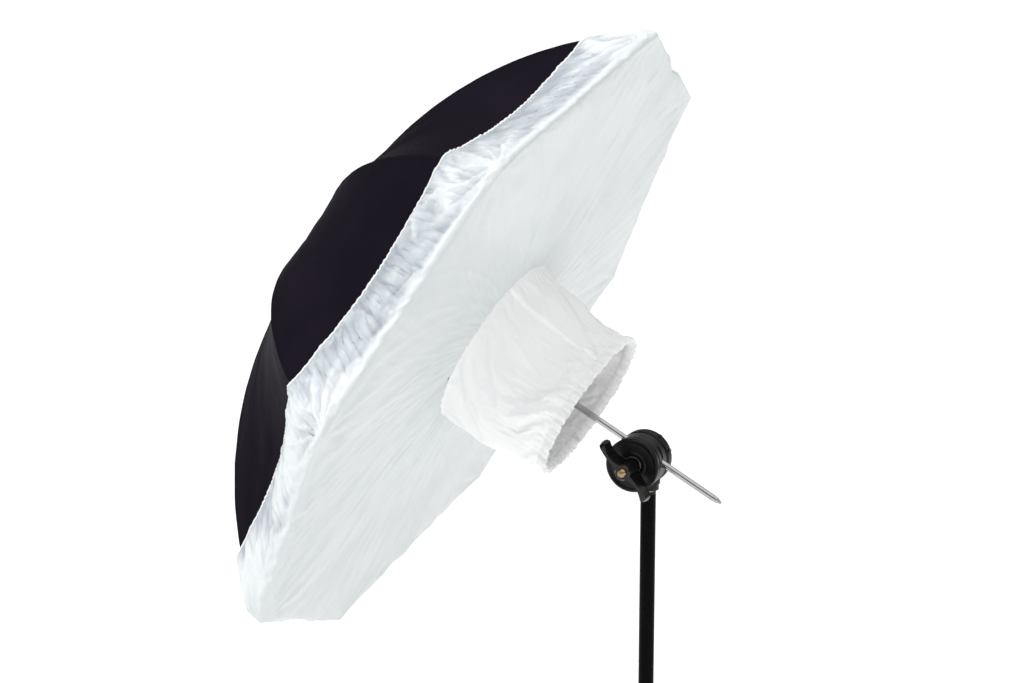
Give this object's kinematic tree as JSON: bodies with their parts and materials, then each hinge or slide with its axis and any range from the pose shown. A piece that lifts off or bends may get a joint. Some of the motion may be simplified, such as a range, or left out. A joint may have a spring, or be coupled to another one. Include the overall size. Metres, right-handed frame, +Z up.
{
  "type": "umbrella reflector",
  "caption": "Shallow photographic umbrella with a white front cover and sleeve, on a swivel holder and the top tube of a light stand.",
  "frame": {"origin": "middle of the lower end of the stand's top tube", "axes": "+Z up along the tube, +X level towards the shaft's tail, +Y along the holder's tilt axis towards its back"},
  "size_m": [0.584, 0.8794, 1.1264],
  "materials": {
    "black_tube": "satin black powder coat",
    "black_casting": "satin black paint",
    "grey_drum": "dark grey, fine texture",
    "black_plastic": "matt",
    "black_handle": "moulded, low sheen",
    "black_steel": "satin black",
    "fibre": "pressed fibre",
    "steel": "satin",
    "chrome": "polished",
    "brass": "turned",
    "canopy_cloth": "close black satin weave outside, white lining inside",
    "cover_cloth": "thin white nylon, slight shine",
    "sleeve_cloth": "closer white nylon, matt"
  },
  "bodies": {
    "stand": {"stand_tube": "black_tube", "tube_foot": "black_plastic", "tube_plug": "black_plastic", "spigot": "brass"},
    "holder": {"holder_base": "black_casting", "friction_ring": "fibre", "tilt_bolt": "steel"},
    "drum": {"shaft_drum": "grey_drum", "clamp_pad": "black_plastic", "front_plate": "black_casting", "spring_washer": "steel"},
    "wing": {"wing_handle": "black_handle", "wing_insert": "brass", "dome_screw": "brass"},
    "lock": {"lock_knob": "black_handle", "lock_screw": "steel"},
    "umbrella": {"shaft": "chrome", "shaft_tip": "chrome", "crown": "black_plastic", "crown_pins": "steel", "ferrule": "black_plastic", "top_washer": "black_plastic", "cover_sleeve": "sleeve_cloth", "sleeve_band": "sleeve_cloth"},
    "catch": {"shaft_catch": "steel"},
    "runner": {"runner": "black_plastic", "runner_pins": "steel"},
    "rib_1": {"rib_1": "black_steel", "canopy_1": "canopy_cloth", "cover_1": "cover_cloth"},
    "rib_2": {"rib_2": "black_steel", "canopy_2": "canopy_cloth", "cover_2": "cover_cloth"},
    "rib_3": {"rib_3": "black_steel", "canopy_3": "canopy_cloth", "cover_3": "cover_cloth"},
    "rib_4": {"rib_4": "black_steel", "canopy_4": "canopy_cloth", "cover_4": "cover_cloth"},
    "rib_5": {"rib_5": "black_steel", "canopy_5": "canopy_cloth", "cover_5": "cover_cloth"},
    "rib_6": {"rib_6": "black_steel", "canopy_6": "canopy_cloth", "cover_6": "cover_cloth"},
    "rib_7": {"rib_7": "black_steel", "canopy_7": "canopy_cloth", "cover_7": "cover_cloth"},
    "rib_8": {"rib_8": "black_steel", "canopy_8": "canopy_cloth", "cover_8": "cover_cloth"},
    "stretcher_1": {"stretcher_1": "black_steel"},
    "stretcher_2": {"stretcher_2": "black_steel"},
    "stretcher_3": {"stretcher_3": "black_steel"},
    "stretcher_4": {"stretcher_4": "black_steel"},
    "stretcher_5": {"stretcher_5": "black_steel"},
    "stretcher_6": {"stretcher_6": "black_steel"},
    "stretcher_7": {"stretcher_7": "black_steel"},
    "stretcher_8": {"stretcher_8": "black_steel"}
  },
  "joints": [
    {"name": "holder_pan", "type": "hinge", "parent": "stand", "child": "holder", "pos_m": [0, 0, 0.61], "axis": [0, 0, 1], "continuous": true},
    {"name": "umbrella_tilt", "type": "hinge", "parent": "holder", "child": "drum", "pos_m": [0, 0, 0.61], "axis": [0, 1, 0], "range_deg": [-45, 90]},
    {"name": "wing_turn", "type": "hinge", "parent": "holder", "child": "wing", "pos_m": [0, -0.08, 0.61], "axis": [0, -1, 0], "range_deg": [0, 540]},
    {"name": "lock_turn", "type": "hinge", "parent": "holder", "child": "lock", "pos_m": [0, 0.02, 0.584], "axis": [0, 1, 0], "range_deg": [0, 540]},
    {"name": "shaft_slide", "type": "slide", "parent": "drum", "child": "umbrella", "axis": [0.8704, 0, -0.4924], "range_m": [-0.06, 0.04]},
    {"name": "catch_press", "type": "slide", "parent": "umbrella", "child": "catch", "axis": [-0.4612, -0.3502, -0.8152], "range_m": [0, 0.0012], "stiffness_N_per_m": 400},
    {"name": "runner_slide", "type": "slide", "parent": "umbrella", "child": "runner", "axis": [0.8704, 0, -0.4924], "range_m": [0, 0.09701]},
    {"name": "umbrella_fold", "type": "hinge", "parent": "umbrella", "child": "rib_1", "pos_m": [-0.40038, -0.04242, 0.86869], "axis": [0.0172, 0.9994, 0.0304], "range_deg": [0, 15], "deforming": ["canopy_1", "cover_1"]},
    {"name": "rib_2_fold", "type": "hinge", "parent": "umbrella", "child": "rib_2", "pos_m": [-0.40197, -0.03382, 0.86589], "axis": [-0.3358, 0.7314, -0.5936], "range_deg": [0, 15], "deforming": ["canopy_2", "cover_2"]},
    {"name": "rib_3_fold", "type": "hinge", "parent": "umbrella", "child": "rib_3", "pos_m": [-0.40608, -0.03001, 0.85861], "axis": [-0.4921, 0.0349, -0.8698], "range_deg": [0, 15], "deforming": ["canopy_3", "cover_3"]},
    {"name": "rib_4_fold", "type": "hinge", "parent": "umbrella", "child": "rib_4", "pos_m": [-0.41032, -0.03322, 0.85113], "axis": [-0.3601, -0.682, -0.6365], "range_deg": [0, 15], "deforming": ["canopy_4", "cover_4"]},
    {"name": "rib_5_fold", "type": "hinge", "parent": "umbrella", "child": "rib_5", "pos_m": [-0.41219, -0.04158, 0.84781], "axis": [-0.0172, -0.9994, -0.0304], "range_deg": [0, 15], "deforming": ["canopy_5", "cover_5"]},
    {"name": "rib_6_fold", "type": "hinge", "parent": "umbrella", "child": "rib_6", "pos_m": [-0.41061, -0.05018, 0.85061], "axis": [0.3358, -0.7314, 0.5936], "range_deg": [0, 15], "deforming": ["canopy_6", "cover_6"]},
    {"name": "rib_7_fold", "type": "hinge", "parent": "umbrella", "child": "rib_7", "pos_m": [-0.40649, -0.05399, 0.85789], "axis": [0.4921, -0.0349, 0.8698], "range_deg": [0, 15], "deforming": ["canopy_7", "cover_7"]},
    {"name": "rib_8_fold", "type": "hinge", "parent": "umbrella", "child": "rib_8", "pos_m": [-0.40226, -0.05078, 0.86537], "axis": [0.3601, 0.682, 0.6365], "range_deg": [0, 15], "deforming": ["canopy_8", "cover_8"]},
    {"name": "stretcher_1_swing", "type": "hinge", "parent": "rib_1", "child": "stretcher_1", "pos_m": [-0.26846, -0.04915, 1.01566], "axis": [0.0172, 0.9994, 0.0304], "range_deg": [-30, 0]},
    {"name": "stretcher_2_swing", "type": "hinge", "parent": "rib_2", "child": "stretcher_2", "pos_m": [-0.29552, 0.09781, 0.96784], "axis": [-0.3358, 0.7314, -0.5936], "range_deg": [-30, 0]},
    {"name": "stretcher_3_swing", "type": "hinge", "parent": "rib_3", "child": "stretcher_3", "pos_m": [-0.36582, 0.16288, 0.84358], "axis": [-0.4921, 0.0349, -0.8698], "range_deg": [-30, 0]},
    {"name": "stretcher_4_swing", "type": "hinge", "parent": "rib_4", "child": "stretcher_4", "pos_m": [-0.43819, 0.10793, 0.71566], "axis": [-0.3601, -0.682, -0.6365], "range_deg": [-30, 0]},
    {"name": "stretcher_5_swing", "type": "hinge", "parent": "rib_5", "child": "stretcher_5", "pos_m": [-0.47023, -0.03485, 0.65903], "axis": [-0.0172, -0.9994, -0.0304], "range_deg": [-30, 0]},
    {"name": "stretcher_6_swing", "type": "hinge", "parent": "rib_6", "child": "stretcher_6", "pos_m": [-0.44317, -0.18181, 0.70686], "axis": [0.3358, -0.7314, 0.5936], "range_deg": [-30, 0]},
    {"name": "stretcher_7_swing", "type": "hinge", "parent": "rib_7", "child": "stretcher_7", "pos_m": [-0.37287, -0.24688, 0.83112], "axis": [0.4921, -0.0349, 0.8698], "range_deg": [-30, 0]},
    {"name": "stretcher_8_swing", "type": "hinge", "parent": "rib_8", "child": "stretcher_8", "pos_m": [-0.3005, -0.19193, 0.95903], "axis": [0.3601, 0.682, 0.6365], "range_deg": [-30, 0]}
  ],
  "couplings": [
    {"joint": "rib_2_fold", "follows": "umbrella_fold", "ratio": 1},
    {"joint": "rib_3_fold", "follows": "umbrella_fold", "ratio": 1},
    {"joint": "rib_4_fold", "follows": "umbrella_fold", "ratio": 1},
    {"joint": "rib_5_fold", "follows": "umbrella_fold", "ratio": 1},
    {"joint": "rib_6_fold", "follows": "umbrella_fold", "ratio": 1},
    {"joint": "rib_7_fold", "follows": "umbrella_fold", "ratio": 1},
    {"joint": "rib_8_fold", "follows": "umbrella_fold", "ratio": 1},
    {"joint": "stretcher_1_swing", "follows": "umbrella_fold", "ratio": -2},
    {"joint": "stretcher_2_swing", "follows": "umbrella_fold", "ratio": -2},
    {"joint": "stretcher_3_swing", "follows": "umbrella_fold", "ratio": -2},
    {"joint": "stretcher_4_swing", "follows": "umbrella_fold", "ratio": -2},
    {"joint": "stretcher_5_swing", "follows": "umbrella_fold", "ratio": -2},
    {"joint": "stretcher_6_swing", "follows": "umbrella_fold", "ratio": -2},
    {"joint": "stretcher_7_swing", "follows": "umbrella_fold", "ratio": -2},
    {"joint": "stretcher_8_swing", "follows": "umbrella_fold", "ratio": -2},
    {"joint": "runner_slide", "follows": "umbrella_fold", "m_per_rad": 0.37056}
  ]
}
